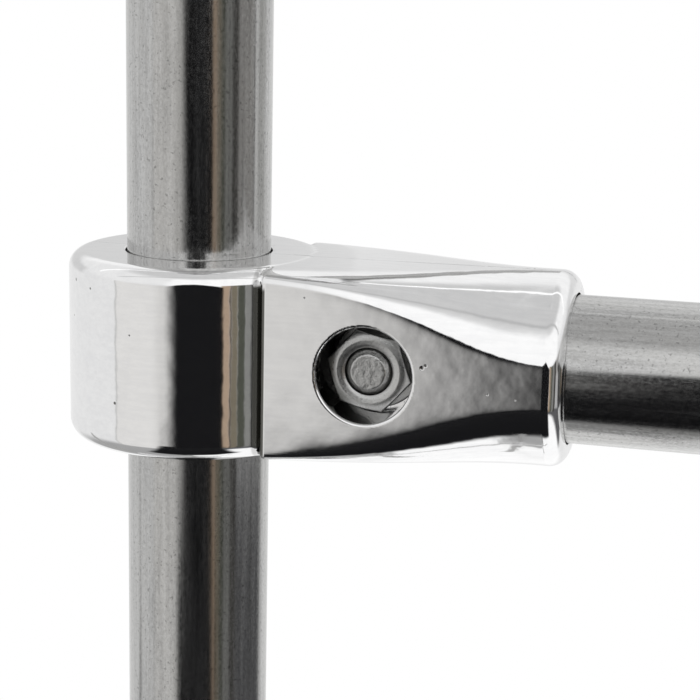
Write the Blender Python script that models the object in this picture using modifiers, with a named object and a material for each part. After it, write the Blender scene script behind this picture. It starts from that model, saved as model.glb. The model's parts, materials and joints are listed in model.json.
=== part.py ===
"""Four way clothing rack: one round post on a four-legged base, with four straight arms, each held by a
two-part cast clamp that slides up and down the post and swivels round it.

Metres, +Z up. The origin is on the floor, under the centre of the post.
"""

import math

import bmesh
import bpy
from mathutils import Matrix

MM = 0.001
GAP = 0.3 * MM  # running gap left between neighbouring pieces

# Tube, used for the post, the arms and the legs
TUBE_R = 12.7 * MM
TUBE_WALL = 1.5 * MM
TUBE_BORE_R = TUBE_R - TUBE_WALL
SOCKET_R = TUBE_R + 0.25 * MM  # every socket and collar lip that a tube passes

# Layout
WAYS = (("right", 0), ("back", 90), ("left", 180), ("front", 270))  # name, turn about the post in degrees
ARM_HEIGHT = {"right": 1.20, "back": 1.35, "left": 1.05, "front": 1.50}
POST_TOP = 1.600
ARM_REACH = 0.440
LEG_REACH = 0.360
LEG_HEIGHT = 0.045
FOOT_FROM_POST = 0.335

# Clamp, in its own frame: post along Z through the origin, arm along X, parted at Y = 0
COLLAR_R = 22.86 * MM
COLLAR_HALF_HEIGHT = 16.54 * MM
COLLAR_EDGE = 3.0 * MM
PAD_START = 17.5 * MM
PAD_EDGE = 0.5 * MM
PAD_HALF_DEPTH = 18.0 * MM
PAD_END_DEPTH = 17.2 * MM
PAD_CUT = 1.1 * MM  # how far the shoulders swell past the flat pad where it starts
PAD_END_CUT = 0.42 * MM  # and where it ends
BODY_HALF_HEIGHT = 16.45 * MM
CLAMP_END = 67.4 * MM
END_EDGE = 3.0 * MM
END_R = 16.8 * MM
CORNER_POWER = 10.8  # superellipse power of the body's section where the pad starts; 2 is a circle
CORNER_FALL = 2.15  # how the power falls towards the socket
PARTING = 0.3 * MM
LINER_R = TUBE_R + 1.4 * MM
LINER_HALF_HEIGHT = 13.0 * MM
LINER_SLIT = 3.0 * MM
ARM_START = 44.8 * MM
BOLT_X = 34.7 * MM
BOLT_R = 4.0 * MM
BOLT_END = 14.5 * MM  # from the parting plane, as are the next four
RECESS_FLOOR = 5.3 * MM
WASHER_TOP = 7.0 * MM
NUT_TOP = 14.2 * MM
HEAD_TOP = 13.6 * MM
RECESS_R = 8.2 * MM
WASHER_R = 7.8 * MM
NUT_FLATS = 13.0 * MM
NUT_FACE_R = 6.1 * MM
NUT_TURN = math.radians(18)
HEAD_R = 6.5 * MM
KEY_FLATS = 6.0 * MM
KEY_DEPTH = 4.0 * MM

# Base
HUB_SLEEVE_R = 19.0 * MM
HUB_TOP = 0.105
HUB_BOTTOM = 0.024
HUB_SOCKET_R = 17.5 * MM
HUB_SOCKET_END = 0.064
LEG_START = 0.0245
POST_BOTTOM = 0.0355
SET_SCREW_R = 3.0 * MM
SET_SCREW_LENGTH = 5.5 * MM
LEG_SCREW_X = 0.046
POST_SCREW_Z = 0.086
STEM_R = 4.0 * MM
STEM_TOP = 0.043
FOOT_R = 17.0 * MM
INSERT_R = 5.5 * MM
INSERT_FLANGE_R = 7.5 * MM
INSERT_TOP = 0.045

ROUND = 20  # sides of a tube
FINE = 32  # sides of the post and of what turns on it
SMALL = 12  # sides of a screw or a washer


# --- helpers ---------------------------------------------------------------------------------------


def clear_scene():
    for obj in list(bpy.data.objects):
        bpy.data.objects.remove(obj)


def new_collection(name):
    made = bpy.data.collections.new(name)
    bpy.context.scene.collection.children.link(made)
    return made


def new_material(name, colour, metallic, roughness):
    made = bpy.data.materials.new(name)
    made.use_nodes = True
    shader = made.node_tree.nodes["Principled BSDF"]
    shader.inputs["Base Color"].default_value = (*colour, 1.0)
    shader.inputs["Metallic"].default_value = metallic
    shader.inputs["Roughness"].default_value = roughness
    made.diffuse_color = (*colour, 1.0)
    return made


def add_part(name, mesh, parent=None, location=(0, 0, 0), rotation=(0, 0, 0)):
    obj = bpy.data.objects.new(name, mesh)
    PARTS.objects.link(obj)
    obj.parent = parent
    obj.location = location
    obj.rotation_euler = rotation
    mesh.shade_smooth()
    mesh.set_sharp_from_angle(angle=math.radians(35))
    return obj


def add_pivot(name, height, turn):
    pivot = bpy.data.objects.new(name, None)
    PARTS.objects.link(pivot)
    pivot.location = (0, 0, height)
    pivot.rotation_euler = (0, 0, math.radians(turn))
    return pivot


def add_cutter(name, mesh):
    """A helper object that the build leaves out."""
    obj = bpy.data.objects.new(name, mesh)
    CUTTERS.objects.link(obj)
    obj.hide_render = True
    obj.display_type = "WIRE"
    return obj


def mesh_from(shape, name, material=None):
    mesh = bpy.data.meshes.new(name)
    shape.to_mesh(mesh)
    shape.free()
    if material:
        mesh.materials.append(material)
    return mesh


def rod(name, radius, start, end, axis="Z", sides=ROUND, at=(0, 0, 0), turn=0.0):
    """Mesh of a closed prism along an axis, from start to end measured from the point at."""
    shape = bmesh.new()
    bmesh.ops.create_cone(
        shape,
        cap_ends=True,
        segments=sides,
        radius1=radius,
        radius2=radius,
        depth=end - start,
        matrix=Matrix.Translation((0, 0, (start + end) / 2)) @ Matrix.Rotation(turn, 4, "Z"),
    )
    lay = {
        "Z": Matrix(),
        "X": Matrix.Rotation(math.pi / 2, 4, "Y"),
        "-Y": Matrix.Rotation(math.pi / 2, 4, "X"),
    }
    bmesh.ops.transform(shape, matrix=Matrix.Translation(at) @ lay[axis], verts=shape.verts)
    return mesh_from(shape, name)


def block(name, low, high):
    """Mesh of a box between two corners."""
    shape = bmesh.new()
    size = [b - a for a, b in zip(low, high)]
    middle = [(a + b) / 2 for a, b in zip(low, high)]
    place = Matrix.Translation(middle) @ Matrix.Diagonal((*size, 1))
    bmesh.ops.create_cube(shape, size=1.0, matrix=place)
    return mesh_from(shape, name)


def hex_radius(across_flats):
    return across_flats / math.sqrt(3)


def outline(name, points, material, closed):
    """Mesh of an (r, z) outline in the XZ plane, for a Screw modifier."""
    shape = bmesh.new()
    verts = [shape.verts.new((r, 0, z)) for r, z in points]
    for first, second in zip(verts, verts[1:] + verts[:1] if closed else verts[1:]):
        shape.edges.new((first, second))
    return mesh_from(shape, name, material)


def spin(obj, sides):
    """Turns an outline about the object's own Z axis."""
    screw = obj.modifiers.new("turned", "SCREW")
    screw.steps = sides
    screw.render_steps = sides
    screw.use_merge_vertices = True
    screw.merge_threshold = 0.00001
    screw.use_smooth_shade = True
    return obj


def cut(obj, cutter, operation="DIFFERENCE"):
    boolean = obj.modifiers.new(cutter.name, "BOOLEAN")
    boolean.operation = operation
    boolean.object = cutter
    return obj


def made_mesh(obj, material):
    """The object's mesh with its modifiers applied, to be shared by several parts."""
    bpy.context.view_layer.update()
    graph = bpy.context.evaluated_depsgraph_get()
    mesh = bpy.data.meshes.new_from_object(obj.evaluated_get(graph))
    mesh.transform(obj.matrix_world)
    mesh.name = obj.name
    mesh.materials.clear()
    mesh.materials.append(material)
    obj.hide_set(True)
    return mesh


def ring_outline(inner, outer, low, high):
    """Outline of a plain hollow cylinder, its outer side first, from the top down."""
    return [(outer, high), (outer, low), (inner, low), (inner, high)]


# --- clamp -----------------------------------------------------------------------------------------


def along_body(x):
    """0 where the pad starts, 1 where the socket's end rounding starts."""
    return min(max((x - PAD_START) / (CLAMP_END - END_EDGE - PAD_START), 0.0), 1.0)


def body_section(x, inset, sides):
    """Points round the arm body at x: flat pads, square shoulders at its start, round at the socket."""
    t = along_body(x)
    pad = PAD_HALF_DEPTH + (PAD_END_DEPTH - PAD_HALF_DEPTH) * t - inset
    depth = pad + PAD_CUT + (PAD_END_CUT - PAD_CUT) * t
    height = BODY_HALF_HEIGHT + (END_R - BODY_HALF_HEIGHT) * t - inset
    power = 2.0 + (CORNER_POWER - 2.0) * (1.0 - t) ** CORNER_FALL
    points = []
    for i in range(sides):
        angle = 2 * math.pi * i / sides
        y = math.copysign(abs(math.cos(angle)) ** (2 / power), math.cos(angle))
        z = math.copysign(abs(math.sin(angle)) ** (2 / power), math.sin(angle))
        points.append((x, max(-pad, min(pad, depth * y)), height * z))
    return points


def body_stations():
    """(x, inset) along the body, with its rounded start and end."""
    steps = 2
    stations = []
    for i in range(steps):
        angle = math.pi / 2 * i / steps
        stations.append((PAD_START - PAD_EDGE * math.cos(angle), PAD_EDGE * (1 - math.sin(angle))))
    spans = 4
    last = CLAMP_END - END_EDGE
    for i in range(spans + 1):
        stations.append((PAD_START + (last - PAD_START) * i / spans, 0.0))
    for i in range(1, steps + 1):
        angle = math.pi / 2 * i / steps
        stations.append((last + END_EDGE * math.sin(angle), END_EDGE * (1 - math.cos(angle))))
    return stations


def body_mesh(sides=ROUND):
    """Loft of the arm body through its stations."""
    shape = bmesh.new()
    rings = []
    for x, inset in body_stations():
        rings.append([shape.verts.new(point) for point in body_section(x, inset, sides)])
    for ring, following in zip(rings, rings[1:]):
        for i in range(sides):
            j = (i + 1) % sides
            shape.faces.new((ring[i], ring[j], following[j], following[i]))
    shape.faces.new(rings[0])
    shape.faces.new(rings[-1])
    bmesh.ops.recalc_face_normals(shape, faces=shape.faces)
    return mesh_from(shape, "clamp_body")


def collar_mesh():
    """The collar as a cylinder with rounded rims."""
    shape = bmesh.new()
    bmesh.ops.create_cone(
        shape,
        cap_ends=True,
        segments=FINE,
        radius1=COLLAR_R,
        radius2=COLLAR_R,
        depth=2 * COLLAR_HALF_HEIGHT,
    )
    rims = [edge for edge in shape.edges if abs(edge.verts[0].co.z - edge.verts[1].co.z) < GAP]
    bmesh.ops.bevel(shape, geom=rims, offset=COLLAR_EDGE, segments=2, affect="EDGES", profile=0.5)
    return mesh_from(shape, "clamp_collar")


def clamp_half_mesh():
    """The half of the clamp on the -Y side. The other half is the same casting, turned over."""
    half = add_cutter("clamp_pattern", collar_mesh())
    cut(half, add_cutter("clamp_pattern_body", body_mesh()), "UNION")
    beyond = 2 * CLAMP_END
    seat = LINER_HALF_HEIGHT + GAP
    tools = {
        "post_hole": rod("post_hole", SOCKET_R, -beyond, beyond, sides=FINE),
        "liner_seat": rod("liner_seat", LINER_R + GAP, -seat, seat, sides=FINE),
        "arm_socket": rod("arm_socket", SOCKET_R, ARM_START - GAP, beyond, "X"),
        "bolt_hole": rod("bolt_hole", BOLT_R + GAP, -beyond, beyond, "-Y", SMALL, (BOLT_X, 0, 0)),
        "nut_recess": rod("nut_recess", RECESS_R, RECESS_FLOOR, beyond, "-Y", ROUND, (BOLT_X, 0, 0)),
        "other_half": block("other_half", (-beyond, -PARTING / 2, -beyond), (beyond, beyond, beyond)),
    }
    for name, mesh in tools.items():
        cut(half, add_cutter(name, mesh))
    return made_mesh(half, CAST)


def liner_mesh():
    """Split sleeve that the clamp turns on."""
    points = ring_outline(TUBE_R + GAP, LINER_R, -LINER_HALF_HEIGHT, LINER_HALF_HEIGHT)
    sleeve = spin(add_cutter("liner_pattern", outline("liner_outline", points, None, True)), FINE)
    tall = 2 * LINER_HALF_HEIGHT
    slit = block("liner_slit", (0, -LINER_SLIT / 2, -tall), (2 * LINER_R, LINER_SLIT / 2, tall))
    cut(sleeve, add_cutter("liner_slit", slit))
    return made_mesh(sleeve, NYLON)


def bolt_mesh():
    """Socket-head bolt. Z runs from the parting plane towards the nut."""
    chamfer = 0.7 * MM
    under_head = -RECESS_FLOOR - GAP
    points = [
        (0, BOLT_END),
        (BOLT_R - chamfer, BOLT_END),
        (BOLT_R, BOLT_END - chamfer),
        (BOLT_R, under_head),
        (HEAD_R, under_head),
        (HEAD_R, -HEAD_TOP + chamfer),
        (HEAD_R - chamfer, -HEAD_TOP),
        (0, -HEAD_TOP),
    ]
    bolt = spin(add_cutter("bolt_pattern", outline("bolt_outline", points, None, False)), SMALL)
    key = rod("bolt_key", hex_radius(KEY_FLATS), -2 * HEAD_TOP, KEY_DEPTH - HEAD_TOP, sides=6)
    cut(bolt, add_cutter("bolt_key", key))
    return made_mesh(bolt, ZINC_PLATE)


def nut_mesh():
    """Hexagon nut, chamfered round its top. Z runs outwards, from its seat at 0."""
    tall = NUT_TOP - WASHER_TOP - GAP
    corner = hex_radius(NUT_FLATS)
    points = [
        (NUT_FACE_R, tall),
        (corner + GAP, tall - 0.9 * MM),
        (corner + GAP, 0),
        (BOLT_R + GAP, 0),
        (BOLT_R + GAP, tall),
    ]
    nut = spin(add_cutter("nut_pattern", outline("nut_outline", points, None, True)), ROUND)
    flats = rod("nut_flats", corner, -tall, 2 * tall, sides=6)
    cut(nut, add_cutter("nut_flats", flats), "INTERSECT")
    return made_mesh(nut, ZINC_PLATE)


# --- base and tubes --------------------------------------------------------------------------------


def hub_part():
    """Cast base hub: an upright sleeve for the post and four sockets for the legs."""
    shape = rod("base_hub", HUB_SLEEVE_R, HUB_BOTTOM, HUB_TOP, sides=FINE)
    shape.materials.append(CAST)
    hub = add_part("base_hub", shape)
    reach = HUB_SOCKET_END
    for axis in ("X", "-Y"):
        bar = rod("hub_bar", HUB_SOCKET_R, -reach, reach, axis, ROUND, (0, 0, LEG_HEIGHT))
        cut(hub, add_cutter(f"hub_bar_{axis}", bar), "UNION")
    post_bore = rod("hub_post_bore", SOCKET_R, POST_BOTTOM - GAP, 2 * HUB_TOP, sides=FINE)
    cut(hub, add_cutter("hub_post_bore", post_bore))
    screw = SET_SCREW_R + GAP
    beyond = 2 * HUB_SLEEVE_R
    post_hole = rod("hole", screw, 0, beyond, "-Y", SMALL, (0, 0, POST_SCREW_Z))
    cut(hub, add_cutter("hub_post_screw_hole", post_hole))
    for name, turn in WAYS:
        rotate = Matrix.Rotation(math.radians(turn), 4, "Z")
        bore = rod("bore", SOCKET_R, LEG_START - GAP, 2 * reach, "X", ROUND, (0, 0, LEG_HEIGHT))
        hole = rod("hole", screw, LEG_HEIGHT, LEG_HEIGHT + beyond, "Z", SMALL, (LEG_SCREW_X, 0, 0))
        for label, mesh in (("bore", bore), ("screw_hole", hole)):
            mesh.transform(rotate)
            cut(hub, add_cutter(f"hub_{name}_{label}", mesh))
    return hub


def tube_outline(name, start, end):
    return outline(name, ring_outline(TUBE_BORE_R, TUBE_R, start, end), CHROME, True)


def leg_mesh():
    """Leg tube, along +X, with a hole underneath for the threaded insert."""
    leg = add_cutter("leg_pattern", tube_outline("leg_outline", LEG_START, LEG_REACH))
    spin(leg, ROUND)
    leg.rotation_euler = (0, math.pi / 2, 0)
    hole = rod("leg_hole", INSERT_R + GAP, -2 * TUBE_R, 0, "Z", SMALL, (FOOT_FROM_POST, 0, 0))
    cut(leg, add_cutter("leg_hole", hole))
    return made_mesh(leg, CHROME)


def plug_outline():
    """Plug for a tube's end. Z runs outwards, from the tube's end face at 0."""
    spigot_r = TUBE_BORE_R - GAP
    spigot = 14 * MM
    rim = 2.0 * MM
    crown = 5.0 * MM
    arc = []
    for i in range(3):
        angle = math.pi / 2 * i / 2
        arc.append((TUBE_R * math.sin(angle), rim + (crown - rim) * math.cos(angle)))
    inside = [(TUBE_R, GAP), (spigot_r, GAP), (spigot_r - 0.5 * MM, -spigot), (0, -spigot)]
    return outline("tube_plug", arc + inside, BLACK_PLASTIC, False)


def set_screw_mesh():
    """Grub screw. Z runs outwards, from its point at 0."""
    chamfer = 0.6 * MM
    points = [
        (0, SET_SCREW_LENGTH),
        (SET_SCREW_R - chamfer, SET_SCREW_LENGTH),
        (SET_SCREW_R, SET_SCREW_LENGTH - chamfer),
        (SET_SCREW_R, chamfer),
        (SET_SCREW_R - chamfer, 0),
        (0, 0),
    ]
    screw = spin(add_cutter("set_screw_pattern", outline("screw_outline", points, None, False)), SMALL)
    key = rod("screw_key", hex_radius(3 * MM), SET_SCREW_LENGTH - 2.5 * MM, 2 * SET_SCREW_LENGTH, sides=6)
    cut(screw, add_cutter("screw_key", key))
    return made_mesh(screw, ZINC_PLATE)


def foot_outline():
    """Levelling foot: a flat pad and a stem. Z is height above the floor."""
    points = [
        (0, STEM_TOP),
        (STEM_R - 0.7 * MM, STEM_TOP),
        (STEM_R, STEM_TOP - 0.7 * MM),
        (STEM_R, 15 * MM),
        (7.5 * MM, 15 * MM),
        (7.5 * MM, 9.5 * MM),
        (FOOT_R - 2 * MM, 6 * MM),
        (FOOT_R, 4 * MM),
        (FOOT_R, 0.8 * MM),
        (FOOT_R - 0.8 * MM, 0),
        (0, 0),
    ]
    return outline("leveller", points, BLACK_PLASTIC, False)


def insert_outline():
    """Threaded insert, set into the leg from below. Z is height above the floor."""
    flange_top = LEG_HEIGHT - TUBE_R - GAP
    flange_bottom = flange_top - 1.2 * MM
    bore = STEM_R + GAP
    points = [
        (INSERT_R, INSERT_TOP),
        (INSERT_R, flange_top),
        (INSERT_FLANGE_R, flange_top),
        (INSERT_FLANGE_R, flange_bottom),
        (bore, flange_bottom),
        (bore, INSERT_TOP),
    ]
    return outline("leg_insert", points, ZINC_PLATE, True)


# --- assembly --------------------------------------------------------------------------------------


def add_stand():
    spin(add_part("post_tube", tube_outline("post_tube", POST_BOTTOM, POST_TOP)), FINE)
    plug = plug_outline()
    spin(add_part("post_top_cap", plug, location=(0, 0, POST_TOP)), ROUND)
    hub_part()
    screw = set_screw_mesh()
    out_front = (math.pi / 2, 0, 0)
    add_part("post_set_screw", screw, location=(0, -SOCKET_R - GAP, POST_SCREW_Z), rotation=out_front)
    leg = leg_mesh()
    insert = insert_outline()
    foot = foot_outline()
    out_along = (0, math.pi / 2, 0)
    for name, turn in WAYS:
        pivot = add_pivot(f"{name}_leg_place", 0, turn)
        add_part(f"{name}_leg", leg, pivot, (0, 0, LEG_HEIGHT))
        spin(add_part(f"{name}_leg_cap", plug, pivot, (LEG_REACH, 0, LEG_HEIGHT), out_along), ROUND)
        add_part(f"{name}_leg_set_screw", screw, pivot, (LEG_SCREW_X, 0, LEG_HEIGHT + SOCKET_R + GAP))
        spin(add_part(f"{name}_leg_insert", insert, pivot, (FOOT_FROM_POST, 0, 0)), SMALL)
        spin(add_part(f"{name}_leveller", foot, pivot, (FOOT_FROM_POST, 0, 0)), ROUND)


def add_arms():
    half = clamp_half_mesh()
    liner = liner_mesh()
    bolt = bolt_mesh()
    nut = nut_mesh()
    plug = plug_outline()
    tube = tube_outline("arm_tube", ARM_START, ARM_REACH)
    washer_ring = ring_outline(BOLT_R + GAP, WASHER_R, RECESS_FLOOR + GAP, WASHER_TOP)
    washer = outline("washer", washer_ring, ZINC_PLATE, True)
    out_along = (0, math.pi / 2, 0)
    to_nut_side = (math.pi / 2, 0, 0)
    for name, turn in WAYS:
        pivot = add_pivot(f"{name}_arm_pivot", ARM_HEIGHT[name], turn)
        add_part(f"{name}_grip_liner", liner, pivot)
        add_part(f"{name}_clamp_nut_half", half, pivot)
        add_part(f"{name}_clamp_bolt_half", half, pivot, rotation=(math.pi, 0, 0))
        add_part(f"{name}_clamp_bolt", bolt, pivot, (BOLT_X, 0, 0), to_nut_side)
        spin(add_part(f"{name}_clamp_washer", washer, pivot, (BOLT_X, 0, 0), to_nut_side), SMALL)
        seat = (BOLT_X, -WASHER_TOP - GAP, 0)
        hexagon = add_part(f"{name}_clamp_nut", nut, pivot, seat, to_nut_side)
        hexagon.rotation_euler.rotate_axis("Z", NUT_TURN)
        spin(add_part(f"{name}_arm_tube", tube, pivot, rotation=out_along), ROUND)
        spin(add_part(f"{name}_arm_end_cap", plug, pivot, (ARM_REACH, 0, 0), out_along), ROUND)


clear_scene()
PARTS = new_collection("four_way_clothing_rack")
CUTTERS = new_collection("cutters")
CHROME = new_material("chrome_tube", (0.62, 0.62, 0.62), 1.0, 0.12)
CAST = new_material("chrome_casting", (0.72, 0.72, 0.72), 1.0, 0.06)
ZINC_PLATE = new_material("zinc_plate", (0.55, 0.55, 0.53), 1.0, 0.35)
NYLON = new_material("nylon", (0.10, 0.10, 0.10), 0.0, 0.55)
BLACK_PLASTIC = new_material("black_plastic", (0.03, 0.03, 0.03), 0.0, 0.45)
add_stand()
add_arms()
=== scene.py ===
"""Looks of the four way clothing rack: fine meshes, procedural metals and plastics, a plain studio.

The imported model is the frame, and each CAD node is replaced by a fine mesh in the same place. Shapes are
worked out in millimetres, in the piece's own frame, and placed in metres. The clamp's own frame has the
post along Z through the origin and the arm along +X.
"""

import json
import math

import bpy
import numpy as np
from mathutils import Matrix, Vector


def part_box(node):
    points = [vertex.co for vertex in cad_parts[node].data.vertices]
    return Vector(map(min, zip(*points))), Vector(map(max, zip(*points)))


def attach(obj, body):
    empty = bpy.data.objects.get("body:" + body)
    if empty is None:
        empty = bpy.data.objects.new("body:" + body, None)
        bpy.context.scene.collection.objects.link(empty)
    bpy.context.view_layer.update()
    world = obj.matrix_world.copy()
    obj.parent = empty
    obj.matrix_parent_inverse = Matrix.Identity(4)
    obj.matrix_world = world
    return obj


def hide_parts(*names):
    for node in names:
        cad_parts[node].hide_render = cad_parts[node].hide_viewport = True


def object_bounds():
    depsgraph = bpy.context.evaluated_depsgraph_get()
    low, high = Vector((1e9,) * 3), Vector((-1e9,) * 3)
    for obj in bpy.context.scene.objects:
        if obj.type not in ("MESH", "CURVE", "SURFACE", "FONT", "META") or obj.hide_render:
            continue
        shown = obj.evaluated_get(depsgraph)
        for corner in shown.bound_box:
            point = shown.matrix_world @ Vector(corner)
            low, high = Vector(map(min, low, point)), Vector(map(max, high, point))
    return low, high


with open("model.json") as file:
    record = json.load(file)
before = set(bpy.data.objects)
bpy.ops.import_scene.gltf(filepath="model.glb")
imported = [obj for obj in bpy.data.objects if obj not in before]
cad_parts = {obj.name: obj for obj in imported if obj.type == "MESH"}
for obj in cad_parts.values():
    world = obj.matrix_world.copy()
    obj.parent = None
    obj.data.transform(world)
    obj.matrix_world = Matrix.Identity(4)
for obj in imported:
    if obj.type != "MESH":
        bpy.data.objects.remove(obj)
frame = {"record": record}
CAD_LOW, CAD_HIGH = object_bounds()
COARSER = 1.0

MM = 0.001
WAYS = {"right": 0, "back": 90, "left": 180, "front": 270}  # turn about the post, in degrees
HERO = "right"

# Sizes in millimetres, as in the CAD model
GAP = 0.3  # running gap left between neighbouring pieces
TUBE_R = 12.7
TUBE_BORE_R = 11.2
SOCKET_R = 12.95

# Clamp, in its own frame
COLLAR_R = 22.86
COLLAR_HALF_HEIGHT = 16.54
COLLAR_EDGE = 3.0
PAD_START = 17.5
PAD_EDGE = 0.5
PAD_HALF_DEPTH = 18.0
PAD_END_DEPTH = 17.2
PAD_CUT = 1.1  # how far the shoulders swell past the flat pad where it starts
PAD_END_CUT = 0.42  # and where it ends
BODY_HALF_HEIGHT = 16.45
CORNER_POWER = 10.8  # superellipse power of the body's section where the pad starts; 2 is a circle
CORNER_FALL = 2.15  # how the power falls towards the socket
CLAMP_END = 67.4
END_EDGE = 3.0
END_R = 16.8
LINER_R = 14.1
LINER_HALF_HEIGHT = 13.0
LINER_SLIT = 3.0
ARM_START = 44.8
ARM_REACH = 440.0
BOLT_X = 34.7
BOLT_R = 4.0
BOLT_END = 14.5
RECESS_R = 8.2
RECESS_FLOOR = 5.3
WASHER_R = 7.8
WASHER_TOP = 7.0
NUT_SEAT = 7.3
NUT_TOP = 14.2
NUT_FLATS = 13.0
NUT_FACE_R = 6.1
NUT_TURN = 48  # in degrees
HEAD_R = 6.5
HEAD_TOP = 13.6
KEY_FLATS = 6.0
KEY_DEPTH = 4.0

# Base and post
LEG_HEIGHT = 45.0
LEG_START = 24.5
LEG_REACH = 360.0
FOOT_FROM_POST = 335.0
HUB_SLEEVE_R = 19.0
HUB_SOCKET_R = 17.5
HUB_SOCKET_END = 64.0
HUB_TOP = 105.0
HUB_BOTTOM = 24.0
POST_BOTTOM = 35.5
POST_TOP = 1600.0
LEG_SCREW_X = 46.0
POST_SCREW_Z = 86.0
SET_SCREW_R = 3.0
SET_SCREW_LENGTH = 5.5
SET_SCREW_KEY_FLATS = 3.0
SET_SCREW_KEY_DEPTH = 2.5
STEM_R = 4.0
STEM_TOP = 43.0
FOOT_R = 17.0
INSERT_R = 5.5
INSERT_FLANGE_R = 7.5
INSERT_TOP = 45.0

# Sizes in millimetres that only the fine meshes have
PARTING = 0.12  # the seam between the castings, closer than the CAD model's running gap
PAD_REACH = 0.5  # softness of the pad's upper edge at its start
PAD_LOW_REACH = 1.9  # and of its lower edge, about a third of the way along
PAD_END_REACH = 0.08  # and of both at the end
PAD_LOW_SPAN = 16.0  # height over which the lower edge's softness takes over from the upper one's
ROOT_FILLET = 0.12  # between the collar and the body
RIM_FILLET = 1.5  # added to it at the top and bottom rims, near the pads
RIM_HEIGHT = 11.5  # distance from the middle where that starts, full at RIM_RISE further
RIM_RISE = 4.0
RIM_DEPTH = 12.5  # distance from the parting plane where it starts, full at RIM_RUN further
RIM_RUN = 3.0
BORE_EDGE = 0.35
SOCKET_EDGE = 0.3
RECESS_EDGE = 0.5
SEAM_EDGE = 0.15
THREAD_PITCH = 1.25
THREAD_DEPTH = 0.28
THREAD_START = 4.0
BOLT_TIP_R = 2.95
TUBE_EDGE = 0.25
LEAD_IN = 0.55  # chamfer where the bolt enters the nut
NUT_DISH = 0.25  # depth of the shallow ring round the nut's hole
NUT_DISH_R = 5.4
NUT_DISH_SLOPE = 1.4  # width of its side
THREAD_PLAY = 0.12

DIAGONAL = math.sqrt(0.5)  # a field's slope across a 45 degree chamfer


# --- shapes as fields: negative inside, positive outside, near enough a distance in millimetres ------


def round_max(a, b, radius):
    """Both a and b, with the edge where they meet rounded."""
    over_a = np.maximum(a + radius, 0.0)
    over_b = np.maximum(b + radius, 0.0)
    return np.minimum(np.maximum(a, b), -radius) + np.hypot(over_a, over_b)


def soft_max(a, b, reach):
    """Both a and b, where they meet at a slight angle: the edge spreads out over a long reach."""
    return (a + b + np.hypot(a - b, reach)) / 2


def round_min(a, b, radius):
    """Either a or b, with the corner where they meet filled."""
    return -round_max(-a, -b, radius)


def hexagon(u, v, across_flats):
    """Distance to a hexagon's sides, with corners at 0 and every 60 degrees from there."""
    reach = None
    for i in range(3):
        angle = math.radians(30 + 60 * i)
        side = np.abs(u * math.cos(angle) + v * math.sin(angle))
        reach = side if reach is None else np.maximum(reach, side)
    return reach - across_flats / 2


def slope(field, points, reach=0.02):
    """Gradient of a field at points, by differences."""
    out = np.empty_like(points)
    for axis in range(3):
        step = np.zeros(3)
        step[axis] = reach
        out[:, axis] = (field(points + step) - field(points - step)) / (2 * reach)
    return out


def graded(low, high, step, fine=()):
    """Grid positions from low to high, with a finer step over each (start, end, step) of fine."""
    out = [low]
    while out[-1] < high:
        at = out[-1]
        here = [size for start, end, size in fine if start <= at < end]
        out.append(at + min([step, *here]))
    return np.array(out)


def even(low, high, step):
    """Grid positions for a box, the same step everywhere."""
    return [graded(a, b, step) for a, b in zip(low, high)]


def unit(vectors):
    return vectors / np.maximum(np.linalg.norm(vectors, axis=1, keepdims=True), 1e-9)


def crossings(field, values, axes, axis):
    """Grid edges along an axis that the surface crosses: lower index, point and whether it faces +."""
    low = [slice(None)] * 3
    high = [slice(None)] * 3
    low[axis] = slice(None, -1)
    high[axis] = slice(1, None)
    inside = values < 0
    index = np.argwhere(inside[tuple(low)] != inside[tuple(high)])
    start = np.stack([axes[k][index[:, k]] for k in range(3)], axis=1)
    end = start.copy()
    end[:, axis] = axes[axis][index[:, axis] + 1]
    f_start = values[tuple(index.T)]
    f_end = field(end)
    facing = f_start < 0
    for _ in range(4):
        share = (f_start / (f_start - f_end))[:, None]
        point = start + (end - start) * np.clip(share, 0.02, 0.98)
        f_point = field(point)
        same = (f_point < 0) == (f_start < 0)
        start[same], f_start[same] = point[same], f_point[same]
        end[~same], f_end[~same] = point[~same], f_point[~same]
    share = (f_start / (f_start - f_end))[:, None]
    return index, start + (end - start) * share, facing


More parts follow.
